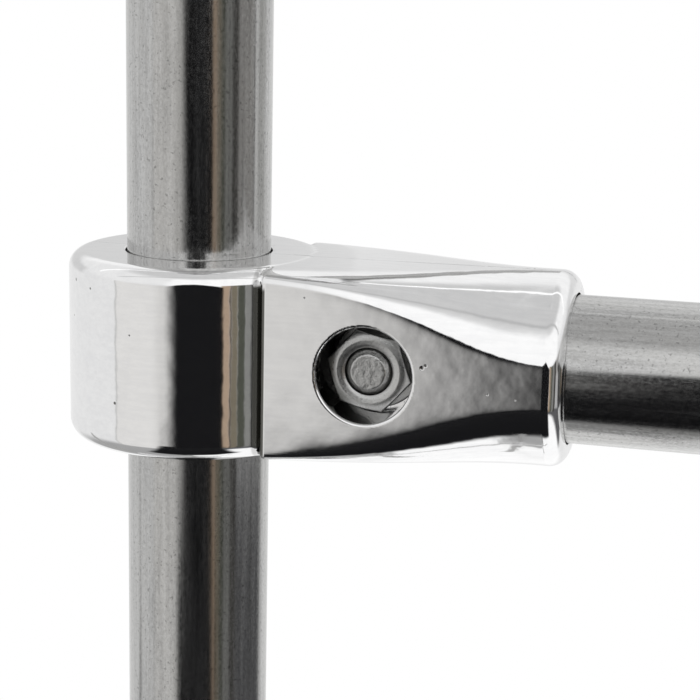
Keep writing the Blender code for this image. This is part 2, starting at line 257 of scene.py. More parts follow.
def contour(field, axes):
    """(points, quads) on a field's surface, with a point on every sharp edge that crosses a cell."""
    grid = np.stack(np.meshgrid(*axes, indexing="ij"), axis=-1)
    shape = grid.shape[:3]
    values = field(grid.reshape(-1, 3)).reshape(shape)
    corners, normals, spots, quads = [], [], [], []
    for axis in range(3):
        index, point, facing = crossings(field, values, axes, axis)
        normal = unit(slope(field, point))
        b, c = (axis + 1) % 3, (axis + 2) % 3
        around = []
        for back_b, back_c in ((1, 1), (0, 1), (0, 0), (1, 0)):
            cell = index.copy()
            cell[:, b] -= back_b
            cell[:, c] -= back_c
            around.append(np.ravel_multi_index(cell.T, shape))
        quad = np.stack(around, axis=1)
        quads.append(np.where(facing[:, None], quad, quad[:, ::-1]))
        corners.append(quad.reshape(-1))
        normals.append(np.repeat(normal, 4, axis=0))
        spots.append(np.repeat(point, 4, axis=0))
    corners, normals, spots = (np.concatenate(part) for part in (corners, normals, spots))
    cells, slot = np.unique(corners, return_inverse=True)
    count = np.bincount(slot).astype(float)

    def total(weights):
        return np.bincount(slot, weights=weights)

    # A cell's point is pulled from the mean of its crossings to where their tangent planes meet
    middle = np.stack([total(spots[:, k]) / count for k in range(3)], axis=1)
    offset = np.einsum("ij,ij->i", normals, spots - middle[slot])
    fit = np.empty((len(cells), 3, 3))
    pull = np.empty((len(cells), 3))
    for i in range(3):
        pull[:, i] = total(normals[:, i] * offset)
        for j in range(3):
            fit[:, i, j] = total(normals[:, i] * normals[:, j]) + (0.05 if i == j else 0.0)
    shift = np.linalg.solve(fit, pull[:, :, None])[:, :, 0]
    at = np.unravel_index(cells, shape)
    room = np.min([np.diff(axis)[np.minimum(i, len(axis) - 2)] for axis, i in zip(axes, at)], axis=0)[:, None]
    points = middle + np.clip(shift, -0.7 * room, 0.7 * room)
    quads = np.searchsorted(cells, np.concatenate(quads))
    # and then takes one short step onto the surface
    gradient = slope(field, points)
    size = np.maximum(np.einsum("ij,ij->i", gradient, gradient), 0.25)
    away = field(points) / size
    points = points - np.clip(away[:, None], -0.2 * room, 0.2 * room) * gradient
    return points, quads


def corner_normals(field, points, quads, crease=0.93):
    """A normal for each corner of each quad: smooth over the surface, split where it has an edge."""
    centre = points[quads].mean(axis=1)
    corner = points[quads]
    nudged = (corner * 0.6 + centre[:, None] * 0.4).reshape(-1, 3)
    own = unit(slope(field, nudged))
    plain = unit(slope(field, points))[quads.reshape(-1)]
    agree = np.einsum("ij,ij->i", own, plain) > crease
    rough = np.zeros(len(points), bool)
    rough[quads.reshape(-1)[~agree]] = True
    use_own = rough[quads.reshape(-1)]
    return np.where(use_own[:, None], own, plain)


def field_shape(field, axes):
    points, quads = contour(field, axes)
    return {"points": points, "faces": quads, "normals": corner_normals(field, points, quads)}


# --- turned shapes ---------------------------------------------------------------------------------


def lathe(profile, sides, closed=False):
    """Turns an (r, z) profile about Z. The profile runs down the outer side; a point at r = 0 is a pole."""
    rings = []
    points = []
    for r, z in profile:
        if r < 1e-6:
            rings.append([len(points)])
            points.append((0.0, 0.0, z))
            continue
        rings.append(list(range(len(points), len(points) + sides)))
        for i in range(sides):
            angle = 2 * math.pi * i / sides
            points.append((r * math.cos(angle), r * math.sin(angle), z))
    faces = []
    pairs = list(zip(rings, rings[1:]))
    if closed:
        pairs.append((rings[-1], rings[0]))
    for upper, lower in pairs:
        for i in range(sides):
            j = (i + 1) % sides
            if len(upper) == 1:
                faces.append((upper[0], lower[i], lower[j]))
            elif len(lower) == 1:
                faces.append((upper[i], lower[0], upper[j]))
            else:
                faces.append((upper[i], lower[i], lower[j], upper[j]))
    return {"points": np.array(points), "faces": faces, "normals": None}


def rounded(corners, steps=4):
    """A profile from (r, z, radius) corners, each rounded by its radius with an arc."""
    out = []
    count = len(corners)
    for i, (r, z, radius) in enumerate(corners):
        here = Vector((r, z))
        if radius <= 0 or i in (0, count - 1):
            out.append((r, z))
            continue
        before = Vector(corners[i - 1][:2]) - here
        after = Vector(corners[i + 1][:2]) - here
        half = before.angle(after) / 2
        cut_back = radius / math.tan(half)
        first = here + before.normalized() * cut_back
        last = here + after.normalized() * cut_back
        middle = here + (before.normalized() + after.normalized()).normalized() * (radius / math.sin(half))
        a = first - middle
        b = last - middle
        sweep = a.angle(b)
        for k in range(steps + 1):
            share = k / steps
            if sweep < 1e-6:
                spot = a
            else:
                spot = (a * math.sin((1 - share) * sweep) + b * math.sin(share * sweep)) / math.sin(sweep)
            out.append(tuple(middle + spot))
    return out


# --- placing ---------------------------------------------------------------------------------------

BODIES = frame["record"]["behaviour"]["bodies"]
BODY_OF = {node: body for body, nodes in BODIES.items() for node in nodes}
CREASE = math.radians(38)  # turned shapes are smooth below this angle
NOT_MIRRORED = ("front_arm", "front_clamp")  # they would show in the hero's pads, where nothing is seen


def add_piece(node, shape, place, material):
    """A fine mesh in place of a CAD node. place carries the shape's own frame, in mm, to the rack's."""
    carry = np.array(place @ Matrix.Scale(MM, 4))
    points = shape["points"] @ carry[:3, :3].T + carry[:3, 3]
    mesh = bpy.data.meshes.new(node + "_fine")
    faces = shape["faces"]
    mesh.from_pydata(points, [], faces if isinstance(faces, list) else faces.tolist())
    mesh.validate()
    own = mesh.attributes.new("own", "FLOAT_VECTOR", "POINT")
    own.data.foreach_set("vector", (shape["points"] * MM).astype(np.float32).reshape(-1))
    mesh.shade_smooth()
    if shape["normals"] is not None:
        turn = np.array(place.to_3x3())
        mesh.normals_split_custom_set(shape["normals"] @ turn.T)
    else:
        mesh.set_sharp_from_angle(angle=CREASE)
    mesh.materials.append(material)
    piece = bpy.data.objects.new(node + "_fine", mesh)
    bpy.context.scene.collection.objects.link(piece)
    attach(piece, BODY_OF[node])
    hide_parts(node)
    piece.visible_glossy = not node.startswith(NOT_MIRRORED)


def middle_of(node):
    low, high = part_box(node)
    return (low + high) / 2


def clamp_place(way):
    """The clamp's own frame: on the post's axis at the arm's height, turned to its way."""
    height = middle_of(f"{way}_arm_tube").z
    return Matrix.Translation((0, 0, height)) @ Matrix.Rotation(math.radians(WAYS[way]), 4, "Z")


def leg_place(way):
    return Matrix.Rotation(math.radians(WAYS[way]), 4, "Z")


TURNED_OVER = Matrix.Rotation(math.pi, 4, "X")  # the clamp's other half is the same casting, turned over
TO_NUT_SIDE = Matrix.Rotation(math.pi / 2, 4, "X")  # Z goes to -Y
ALONG_X = Matrix.Rotation(math.pi / 2, 4, "Y")  # Z goes to X


# --- clamp -----------------------------------------------------------------------------------------


def ripple(x, y, z):
    """Slight waves of a cast and polished skin, in mm, stronger on the pad's far end."""
    wave = 0.007 * np.sin(0.55 * x + 0.31 * z + 0.4) * np.sin(0.62 * z - 0.23 * x + 1.1)
    wave += 0.003 * np.sin(1.27 * x - 0.9 * y + 2.0) * np.sin(1.11 * z + 0.35 * x + 0.3)
    peel = np.sin(1.9 * x + 0.8 * z + 0.7) * np.sin(1.5 * z - 0.6 * x)
    peel += np.sin(1.1 * x - 1.7 * z + 2.1) * np.sin(2.3 * x + 0.9 * z + 1.3)
    on_pad = np.clip((np.abs(y) - 15.0) / 2.0, 0.0, 1.0) * np.clip((x - 22.0) / 22.0, 0.0, 1.0)
    return wave + 0.0009 * peel * on_pad


def clamp_field(p):
    """The clamp's half on the -Y side."""
    x, y, z = p[:, 0], p[:, 1], p[:, 2]
    from_post = np.hypot(x, y)
    collar = round_max(from_post - COLLAR_R, np.abs(z) - COLLAR_HALF_HEIGHT, COLLAR_EDGE)
    along = np.clip((x - PAD_START) / (CLAMP_END - END_EDGE - PAD_START), 0.0, 1.0)
    cut = PAD_CUT + (PAD_END_CUT - PAD_CUT) * along
    lower = np.clip(0.5 - z / PAD_LOW_SPAN, 0.0, 1.0)
    reach = PAD_REACH * (1.0 - lower) + PAD_LOW_REACH * lower * along
    reach = PAD_END_REACH + reach * (1.0 - along) ** 2
    pad = PAD_HALF_DEPTH + (PAD_END_DEPTH - PAD_HALF_DEPTH) * along + (np.hypot(cut, reach) - cut) / 2
    depth = pad + cut
    height = BODY_HALF_HEIGHT + (END_R - BODY_HALF_HEIGHT) * along
    power = 2.0 + (CORNER_POWER - 2.0) * (1.0 - along) ** CORNER_FALL
    side = (np.abs(y) / depth) ** power + (np.abs(z) / height) ** power
    body = (side ** (1.0 / power) - 1.0) * np.minimum(depth, height)
    body = soft_max(body, np.abs(y) - pad, reach)
    body = round_max(body, PAD_START - PAD_EDGE - x, PAD_EDGE)
    body = round_max(body, x - CLAMP_END, END_EDGE)
    near_rim = np.clip((np.abs(z) - RIM_HEIGHT) / RIM_RISE, 0.0, 1.0)
    near_rim *= np.clip((np.abs(y) - RIM_DEPTH) / RIM_RUN, 0.0, 1.0)
    shape = round_min(collar, body, ROOT_FILLET + RIM_FILLET * near_rim) + ripple(x, y, z)
    shape = round_max(shape, SOCKET_R - from_post, BORE_EDGE)
    from_arm = np.hypot(y, z)
    shape = round_max(shape, np.minimum(SOCKET_R - from_arm, x - (ARM_START - GAP)), SOCKET_EDGE)
    seat = np.minimum(LINER_R + GAP - from_post, LINER_HALF_HEIGHT + GAP - np.abs(z))
    shape = np.maximum(shape, seat)
    from_bolt = np.hypot(x - BOLT_X, z)
    shape = np.maximum(shape, BOLT_R + GAP - from_bolt)
    shape = round_max(shape, np.minimum(RECESS_R - from_bolt, -RECESS_FLOOR - y), RECESS_EDGE)
    return round_max(shape, y + PARTING / 2, SEAM_EDGE)


def nut_field(p):
    """Chamfered hexagon nut, its seat at Z = 0."""
    x, y, z = p[:, 0], p[:, 1], p[:, 2]
    r = np.hypot(x, y)
    tall = NUT_TOP - NUT_SEAT
    shape = round_max(hexagon(x, y, NUT_FLATS), z - tall, 0.2)
    lean = math.radians(30)  # of the chamfer, below the nut's face
    shape = round_max(shape, (r - NUT_FACE_R) * math.sin(lean) + (z - tall) * math.cos(lean), 0.4)
    dish = tall - z - NUT_DISH * np.clip((NUT_DISH_R - r) / NUT_DISH_SLOPE, 0.0, 1.0)
    shape = np.maximum(shape, -dish)
    shape = round_max(shape, (BOLT_R + LEAD_IN - r + z - tall) * DIAGONAL, 0.25)
    shape = np.maximum(shape, BOLT_R + THREAD_PLAY - r)
    return np.maximum(shape, -z)


def bolt_field(p):
    """Socket-head bolt. Z runs from the parting plane towards the nut."""
    x, y, z = p[:, 0], p[:, 1], p[:, 2]
    r = np.hypot(x, y)
    under_head = -RECESS_FLOOR - GAP
    turns = (z / THREAD_PITCH + np.arctan2(y, x) / (2 * math.pi)) % 1.0
    thread = THREAD_DEPTH * np.abs(turns - 0.5) * 2.0
    shank = round_max(r - BOLT_R + np.where(z > THREAD_START, thread, 0.0), z - BOLT_END, 0.1)
    shank = round_max(shank, (r - BOLT_TIP_R + z - BOLT_END) * DIAGONAL, 0.12)
    past_end = np.abs(z - (under_head - HEAD_TOP) / 2) - (HEAD_TOP + under_head) / 2
    head = round_max(r - HEAD_R, past_end, 0.5)
    shape = round_min(np.maximum(shank, under_head - 1.0 - z), head, 0.3)
    key = np.maximum(hexagon(x, y, KEY_FLATS), z - KEY_DEPTH + HEAD_TOP)
    return round_max(shape, -key, 0.15)


def ring(inner, outer, low, high, radius):
    """Corners of a plain ring with its edges rounded, starting and ending on the bore."""
    middle = (low + high) / 2
    hold = min(1.0, (high - low) / 3)  # a turn this near each edge keeps its rounding out of the long sides
    return [
        (inner, middle, 0),
        (inner, high - hold, 0),
        (inner, high, radius),
        (outer, high, radius),
        (outer, high - hold, 0),
        (outer, low + hold, 0),
        (outer, low, radius),
        (inner, low, radius),
        (inner, low + hold, 0),
    ]


def tube_shape(start, end, sides):
    return lathe(rounded(ring(TUBE_BORE_R, TUBE_R, start, end, TUBE_EDGE), 3), sides, True)


def liner_field(p):
    x, y, z = p[:, 0], p[:, 1], p[:, 2]
    r = np.hypot(x, y)
    wall = np.maximum(r - LINER_R, TUBE_R + GAP - r)
    shape = np.maximum(wall, np.abs(z) - LINER_HALF_HEIGHT)
    return np.maximum(shape, np.minimum(LINER_SLIT / 2 - np.abs(y), x))


def plug_profile():
    """Domed plug for a tube's end. Z runs outwards from the tube's end face."""
    spigot, depth = TUBE_BORE_R - GAP, 14.0
    rim, rise = 2.0, 3.0
    crown = [(TUBE_R * math.sin(a), rim + rise * math.cos(a)) for a in np.linspace(0, math.pi / 2, 12)]
    crown[0] = (0.0, rim + rise)
    edge = [(TUBE_R, 0.8), (TUBE_R - 0.35, GAP), (spigot, GAP)]
    inside = [(spigot, 1.5 - depth), (spigot - 0.6, -depth), (0.0, -depth)]
    return crown + edge + inside


CASTING_LOW = (-24.3, -24.3, -18.1)  # corners of a box round one casting
CASTING_HIGH = (68.9, 1.1, 18.1)


def clamp_half():
    """One casting of a clamp, on an even grid."""
    return field_shape(clamp_field, even(CASTING_LOW, CASTING_HIGH, 0.7))


def hero_clamp_half():
    """The same on a finer grid, finest round the recess, on the pad, at the seam and at the socket's end."""
    plain = 0.4 * COARSER
    finest = 0.2 * COARSER
    fine = (
        [(25.5, 43.9, finest), (60, 69, 0.3 * COARSER)],
        [(-18.6, -16.0, 0.25 * COARSER), (-1.0, 0.6, finest)],
        [(-13.6, 14.6, finest)],
    )
    axes = [graded(a, b, plain, bands) for a, b, bands in zip(CASTING_LOW, CASTING_HIGH, fine)]
    return field_shape(clamp_field, axes)


def build_clamps():
    half = clamp_half()
    hero_half = hero_clamp_half()
    nut = field_shape(nut_field, even((-8.2, -8.2, -0.6), (8.2, 8.2, 7.6), 0.16 * COARSER))
    bolt = field_shape(bolt_field, even((-7.1, -7.1, -14.4), (7.1, 7.1, 15.2), 0.25))
    washer = lathe(rounded(ring(BOLT_R + GAP, WASHER_R, RECESS_FLOOR + GAP, WASHER_TOP, 0.25)), 64, True)
    tube = tube_shape(ARM_START, ARM_REACH, 128)
    liner = field_shape(liner_field, even((-15, -15, -14), (15, 15, 14), 0.7))
    plug = lathe(plug_profile(), 96)
    bolt_axis = Matrix.Translation((BOLT_X * MM, 0, 0)) @ TO_NUT_SIDE
    nut_seat = bolt_axis @ Matrix.Translation((0, 0, NUT_SEAT * MM))
    nut_seat = nut_seat @ Matrix.Rotation(math.radians(NUT_TURN), 4, "Z")
    arm_end = Matrix.Translation((ARM_REACH * MM, 0, 0)) @ ALONG_X
    for way in WAYS:
        place = clamp_place(way)
        add_piece(f"{way}_clamp_nut_half", hero_half if way == HERO else half, place, CAST)
        add_piece(f"{way}_clamp_bolt_half", half, place @ TURNED_OVER, CAST)
        add_piece(f"{way}_clamp_nut", nut, place @ nut_seat, PLATED)
        add_piece(f"{way}_clamp_bolt", bolt, place @ bolt_axis, PLATED)
        add_piece(f"{way}_clamp_washer", washer, place @ bolt_axis, PLATED)
        add_piece(f"{way}_arm_tube", tube, place @ ALONG_X, TUBE)
        add_piece(f"{way}_grip_liner", liner, place, NYLON)
        add_piece(f"{way}_arm_end_cap", plug, place @ arm_end, PLASTIC)


# --- base and post ---------------------------------------------------------------------------------


def hub_field(p):
    x, y, z = p[:, 0], p[:, 1], p[:, 2]
    from_post = np.hypot(x, y)
    sleeve = round_max(from_post - HUB_SLEEVE_R, np.maximum(z - HUB_TOP, HUB_BOTTOM - z), 2.0)
    up = z - LEG_HEIGHT
    bar_x = round_max(np.hypot(y, up) - HUB_SOCKET_R, np.abs(x) - HUB_SOCKET_END, 2.0)
    bar_y = round_max(np.hypot(x, up) - HUB_SOCKET_R, np.abs(y) - HUB_SOCKET_END, 2.0)
    shape = round_min(round_min(bar_x, bar_y, 2.5), sleeve, 3.0)
    shape = round_max(shape, np.minimum(SOCKET_R - from_post, z - POST_BOTTOM + GAP), 0.5)
    for along, across in ((np.abs(x), y), (np.abs(y), x)):
        bore = np.minimum(SOCKET_R - np.hypot(across, up), along - LEG_START + GAP)
        shape = round_max(shape, bore, 0.5)
        hole = np.minimum(SET_SCREW_R + GAP - np.hypot(along - LEG_SCREW_X, across), up)
        shape = round_max(shape, hole, 0.3)
    hole = np.minimum(SET_SCREW_R + GAP - np.hypot(x, z - POST_SCREW_Z), -y)
    return round_max(shape, hole, 0.3)


def screw_field(p):
    """Grub screw with a hexagon socket. Z runs outwards from its point."""
    x, y, z = p[:, 0], p[:, 1], p[:, 2]
    r = np.hypot(x, y)
    past_end = np.abs(z - SET_SCREW_LENGTH / 2) - SET_SCREW_LENGTH / 2
    shape = np.maximum(r - SET_SCREW_R, past_end)
    shape = np.maximum(shape, (r - SET_SCREW_R + 0.5 + past_end) * DIAGONAL)
    key = np.maximum(hexagon(x, y, SET_SCREW_KEY_FLATS), SET_SCREW_LENGTH - SET_SCREW_KEY_DEPTH - z)
    return np.maximum(shape, -key)


def foot_profile():
    """Levelling foot: a stem, a neck and a flat pad. Z is height above the floor."""
    corners = [
        (0, STEM_TOP, 0),
        (STEM_R - 0.7, STEM_TOP, 0),
        (STEM_R, STEM_TOP - 0.7, 0),
        (STEM_R, 15, 0.4),
        (7.5, 15, 0.6),
        (7.5, 9.5, 0.8),
        (FOOT_R - 2, 6, 1.0),
        (FOOT_R, 4, 0.8),
        (FOOT_R, 0.8, 0),
        (FOOT_R - 0.8, 0, 0),
        (0, 0, 0),
    ]
    return rounded(corners)


def insert_profile():
    """Threaded insert, with its flange under the leg. Z is height above the floor."""
    top = LEG_HEIGHT - TUBE_R - GAP
    bottom = top - 1.2
    bore = STEM_R + GAP
    flange = [(INSERT_FLANGE_R, top), (INSERT_FLANGE_R, bottom)]
    return [(INSERT_R, INSERT_TOP), (INSERT_R, top), *flange, (bore, bottom), (bore, INSERT_TOP)]


def build_stand():
    here = Matrix.Identity(4)
    add_piece("post_tube", tube_shape(POST_BOTTOM, POST_TOP, 160), here, TUBE)
    plug = lathe(plug_profile(), 96)
    add_piece("post_top_cap", plug, Matrix.Translation((0, 0, POST_TOP * MM)), PLASTIC)
    hub = field_shape(hub_field, even((-66, -66, 22), (66, 66, 107), COARSER))
    add_piece("base_hub", hub, here, CAST)
    screw = field_shape(screw_field, even((-3.6, -3.6, -0.5), (3.6, 3.6, 6.1), 0.25))
    spot = Matrix.Translation((0, -(SOCKET_R + GAP) * MM, POST_SCREW_Z * MM))
    add_piece("post_set_screw", screw, spot @ TO_NUT_SIDE, PLATED)
    leg = tube_shape(LEG_START, LEG_REACH, 96)
    insert = lathe(insert_profile(), 48, True)
    foot = lathe(foot_profile(), 96)
    for way in WAYS:
        place = leg_place(way)
        axis = place @ Matrix.Translation((0, 0, LEG_HEIGHT * MM)) @ ALONG_X
        add_piece(f"{way}_leg", leg, axis, TUBE)
        add_piece(f"{way}_leg_cap", plug, axis @ Matrix.Translation((0, 0, LEG_REACH * MM)), PLASTIC)
        top = Matrix.Translation((LEG_SCREW_X * MM, 0, (LEG_HEIGHT + SOCKET_R + GAP) * MM))
        add_piece(f"{way}_leg_set_screw", screw, place @ top, PLATED)
        under = place @ Matrix.Translation((FOOT_FROM_POST * MM, 0, 0))
        add_piece(f"{way}_leg_insert", insert, under, PLATED)
        add_piece(f"{way}_leveller", foot, under, PLASTIC)


# --- materials -------------------------------------------------------------------------------------


def new_material(name, colour, metallic, roughness):
    made = bpy.data.materials.new(name)
    made.use_nodes = True
    shader = made.node_tree.nodes["Principled BSDF"]
    shader.inputs["Base Color"].default_value = (*colour, 1.0)
    shader.inputs["Metallic"].default_value = metallic
    shader.inputs["Roughness"].default_value = roughness
    return made


class Tree:
    """Short calls for building a node tree."""

    def __init__(self, tree):
        self.nodes = tree.nodes
        self.links = tree.links

    def add(self, kind, *inputs, **settings):
        node = self.nodes.new("ShaderNode" + kind)
        for name, value in settings.items():
            setattr(node, name, value)
        for socket, value in zip(node.inputs, inputs):
            self.set(socket, value)
        return node

    def set(self, socket, value):
        if value is None:
            return
        if isinstance(value, bpy.types.NodeSocket):
            self.links.new(value, socket)
        else:
            socket.default_value = value

    def math(self, kind, *inputs):
        return self.add("Math", *inputs, operation=kind).outputs[0]

    def dot(self, vector, other):
        return self.add("VectorMath", vector, tuple(other), operation="DOT_PRODUCT").outputs["Value"]

    def scaled(self, vector, by):
        return self.add("VectorMath", vector, tuple(by), operation="MULTIPLY").outputs[0]

    def step(self, value, edge, soft):
        """0 below an edge and 1 above it, over twice the softness."""
        node = self.add("MapRange", value, edge - soft, edge + soft, interpolation_type="SMOOTHSTEP")
        return node.outputs["Result"]

    def window(self, value, low, high, soft):
        return self.math("SUBTRACT", self.step(value, low, soft), self.step(value, high, soft))

    def mix(self, share, first, second):
        node = self.add("Mix", data_type="RGBA")
        for name, value in (("Factor", share), ("A", first), ("B", second)):
            socket = [s for s in node.inputs if s.name == name and s.enabled][0]
            if isinstance(value, tuple):
                value = (*value, 1.0)
            self.set(socket, value)
        return [s for s in node.outputs if s.enabled][0]

    def noise(self, vector, scale, detail=2.0, rough=0.5):
        node = self.add("TexNoise", noise_dimensions="3D")
        self.set(node.inputs["Vector"], vector)
        self.set(node.inputs["Scale"], scale)
        self.set(node.inputs["Detail"], detail)
        self.set(node.inputs["Roughness"], rough)
        return node.outputs[0]


# Blemishes seen on the clamp's nut side, in mm in its own frame: (x, y, z, radius)
PITS = (
    (-17.0, -15.2, 12.5, 0.30),
    (-13.0, -18.8, 11.8, 0.22),
    (-7.6, -21.6, -7.2, 0.28),
    (-17.8, -14.3, 6.0, 0.16),
    (-4.6, -22.4, 5.0, 0.16),
    (44.6, -17.5, 2.2, 0.34),
    (45.2, -17.5, 2.6, 0.26),
    (55.6, -17.3, -1.4, 0.20),
    (24.5, -17.9, 12.6, 0.16),
    (60.2, -17.2, -2.0, 0.14),
)

# Shade is painted in the crevice between the collar and the pad; its place, in the clamp's own frame
CREVICE_START = 15.95  # along X
CREVICE_FROM = 13.5  # distance from the parting plane
CREVICE_LOW = -15.4  # along Z
CREVICE_HIGH = 13.6
# Darkness of the thin shadow painted on the collar's flank, just before the crevice
FLANK_SHADE = 0.35  # how dark the collar is just before it

# Colour of the pits and the ragged dark rim round the recess, and of the shade painted beside the pad, on the
# collar's flank and in the recess
PITS_AND_PAINTED_SHADE_COLOUR = (0.12, 0.12, 0.11)
PIT_DEPTH = 0.12


def own_spot(tree):
    """The point in the piece's own frame, in mm."""
    return tree.scaled(tree.add("Attribute", attribute_name="own").outputs["Vector"], (1 / MM,) * 3)


def start_material(name, colour, metallic):
    """A new material, with its tree and its shader's inputs."""
    material = new_material(name, colour, metallic, 0.5)
    return material, Tree(material.node_tree), material.node_tree.nodes["Principled BSDF"].inputs


def bump(tree, height):
    """Normal for a skin whose height is in mm."""
    node = tree.add("Bump")
    tree.set(node.inputs["Strength"], 1.0)
    tree.set(node.inputs["Distance"], MM)
    tree.set(node.inputs["Height"], height)
    return node.outputs[0]


def from_bolt(tree, x, z):
    """Distance from the bolt's axis, in the clamp's own frame."""
    across = tree.math("POWER", tree.math("SUBTRACT", x, BOLT_X), 2.0)
    return tree.math("SQRT", tree.math("ADD", across, tree.math("POWER", z, 2.0)))


def pits_in_casting(tree, spot):
    """1 in the middle of each pit, 0 away from them."""
    pit = 0.0
    for x, y, z, radius in PITS:
        away = tree.add("VectorMath", spot, (x, y, z), operation="DISTANCE").outputs["Value"]
        depth = tree.math("SUBTRACT", 1.0, tree.step(away, radius * 0.8, radius * 0.5))
        pit = tree.math("MAXIMUM", pit, depth)
    return pit


def painted_shade_beside_pad(tree, x, y, z):
    """Painted shade in the crevice where the pad leaves the collar, and a thin painted shadow on the collar's
    flank.
    """
    depth = tree.math("ABSOLUTE", y)
    deep = tree.window(depth, CREVICE_FROM, PAD_HALF_DEPTH + 0.6, 0.15)
    corner = tree.math("MULTIPLY", tree.window(x, CREVICE_START, PAD_START + 0.15, 0.1), deep)
    corner = tree.math("MULTIPLY", corner, tree.window(z, CREVICE_LOW, CREVICE_HIGH, 0.5))
    less_deep = tree.window(depth, CREVICE_FROM, PAD_HALF_DEPTH - 0.25, 0.15)
    flank = tree.math("MULTIPLY", tree.window(x, CREVICE_START - 0.75, CREVICE_START - 0.05, 0.2), less_deep)
    return tree.math("MAXIMUM", corner, tree.math("MULTIPLY", flank, FLANK_SHADE))


def painted_shade_in_recess(tree, x, y, z):
    """Painted shade on the left wall of the recess, from just inside its mouth: the dark that the polished
    wall mirrors, painted into its colour.
    """
    wall = tree.math("LESS_THAN", from_bolt(tree, x, z), RECESS_R + 0.3)
    mouth = 0.7 - PAD_HALF_DEPTH
    wall = tree.math("MULTIPLY", wall, tree.step(y, mouth, 0.4))
    left = tree.step(tree.math("SUBTRACT", BOLT_X, x), RECESS_R / 2 - 0.1, 2.0)
    return tree.math("MULTIPLY", tree.math("MULTIPLY", wall, left), 0.85)


def ragged_dark_rim_round_recess(tree, spot, x, y, z):
    """Ragged dark rim on the upper left of the recess, on the pad's face."""
    away = from_bolt(tree, x, z)
    ragged = tree.math("MULTIPLY_ADD", tree.noise(spot, 1.6, 3.0, 0.7), -1.3, away)
    outside = tree.step(away, RECESS_R - 0.1, 0.08)
    rim = tree.math("SUBTRACT", outside, tree.step(ragged, RECESS_R - 0.55, 0.08))
    upper_left = tree.step(tree.math("MULTIPLY_ADD", tree.math("SUBTRACT", x, BOLT_X), -0.5, z), 1.5, 2.0)
    rim = tree.math("MULTIPLY", tree.math("MAXIMUM", rim, 0.0), upper_left)
    on_face = tree.math("LESS_THAN", y, 3.0 - PAD_HALF_DEPTH)
    return tree.math("MULTIPLY", tree.math("MULTIPLY", rim, on_face), 0.75)


def chrome_casting():
    """Bright chrome over a cast skin: orange peel, a faint haze, a few pits, a ragged dark rim round the
    recess, and shade painted into the corners beside the pad and into the recess.
    """
    material, tree, inputs = start_material("chrome_casting", (0.83, 0.83, 0.83), 1.0)
    spot = own_spot(tree)
    split = tree.add("SeparateXYZ", spot)
    x, y, z = (split.outputs[k] for k in range(3))
    pit = tree.math("MAXIMUM", pits_in_casting(tree, spot), ragged_dark_rim_round_recess(tree, spot, x, y, z))
    # painted shade in the crevice beside the pad, and a painted shadow on the collar's flank
    dark = tree.math("MAXIMUM", pit, painted_shade_beside_pad(tree, x, y, z))
    # painted shade on the recess's left wall
    dark = tree.math("MAXIMUM", dark, painted_shade_in_recess(tree, x, y, z))
    cloud = tree.noise(spot, 0.35, 4.0, 0.6)
    streak = tree.noise(tree.scaled(spot, (0.09, 1.0, 1.0)), 1.1, 4.0, 0.7)
    haze = tree.math("MULTIPLY_ADD", streak, 0.6, tree.math("MULTIPLY", cloud, 0.4))
    clean = tree.mix(tree.step(haze, 0.5, 0.16), (0.86, 0.86, 0.86), (0.805, 0.805, 0.81))
    # the pits, the dark rim and the painted shade, all in one dark colour
    tree.set(inputs["Base Color"], tree.mix(dark, clean, PITS_AND_PAINTED_SHADE_COLOUR))
    tree.set(inputs["Roughness"], tree.math("MULTIPLY_ADD", tree.noise(spot, 2.2, 3.0, 0.6), 0.05, 0.045))
    peel = tree.noise(spot, 0.5, 1.5)
    # Peel's height: 0.012 on the collar, 0.006 from the pad's start, 0.015 towards the socket
    height = tree.math("MULTIPLY_ADD", tree.step(x, PAD_START, 1.0), -0.006, 0.012)
    height = tree.math("MULTIPLY_ADD", tree.step(x, 46.0, 12.0), 0.009, height)
    skin = tree.math("SUBTRACT", tree.math("MULTIPLY", peel, height), tree.math("MULTIPLY", pit, PIT_DEPTH))
    tree.set(inputs["Normal"], bump(tree, skin))
    return material


def chrome_tube():
    """Drawn tube under thin chrome: grain and faint streaks along it, cloudy patches and dark dots."""
    material, tree, inputs = start_material("chrome_tube", (0.5, 0.5, 0.5), 1.0)
    spot = own_spot(tree)
    streak = tree.noise(tree.scaled(spot, (1.0, 1.0, 0.035)), 0.9, 4.0, 0.65)
    grain = tree.noise(tree.scaled(spot, (1.0, 1.0, 0.55)), 2.4, 3.0, 0.7)
    cloud = tree.noise(tree.scaled(spot, (1.0, 1.0, 0.2)), 0.22, 3.0, 0.6)
    share = tree.math("MULTIPLY_ADD", streak, 0.5, tree.math("MULTIPLY", grain, 0.5))
    speck = tree.add("MapRange", share, 0.36, 0.62).outputs["Result"]
    tint = tree.mix(speck, (0.34, 0.34, 0.335), (0.56, 0.56, 0.555))
    clouded = tree.add("MapRange", cloud, 0.35, 0.75, 0.0, 0.5).outputs["Result"]
    tint = tree.mix(clouded, tint, (0.52, 0.515, 0.50))
    dots = tree.noise(spot, 1.7, 2.0, 0.6)
    tint = tree.mix(tree.math("MULTIPLY", tree.step(dots, 0.66, 0.05), 0.6), tint, (0.16, 0.16, 0.155))
    tree.set(inputs["Base Color"], tint)
    tree.set(inputs["Roughness"], tree.math("MULTIPLY_ADD", speck, 0.10, 0.10))
    height = tree.math("MULTIPLY_ADD", streak, 0.003, tree.math("MULTIPLY", grain, 0.0012))
    tree.set(inputs["Normal"], bump(tree, height))
    return material


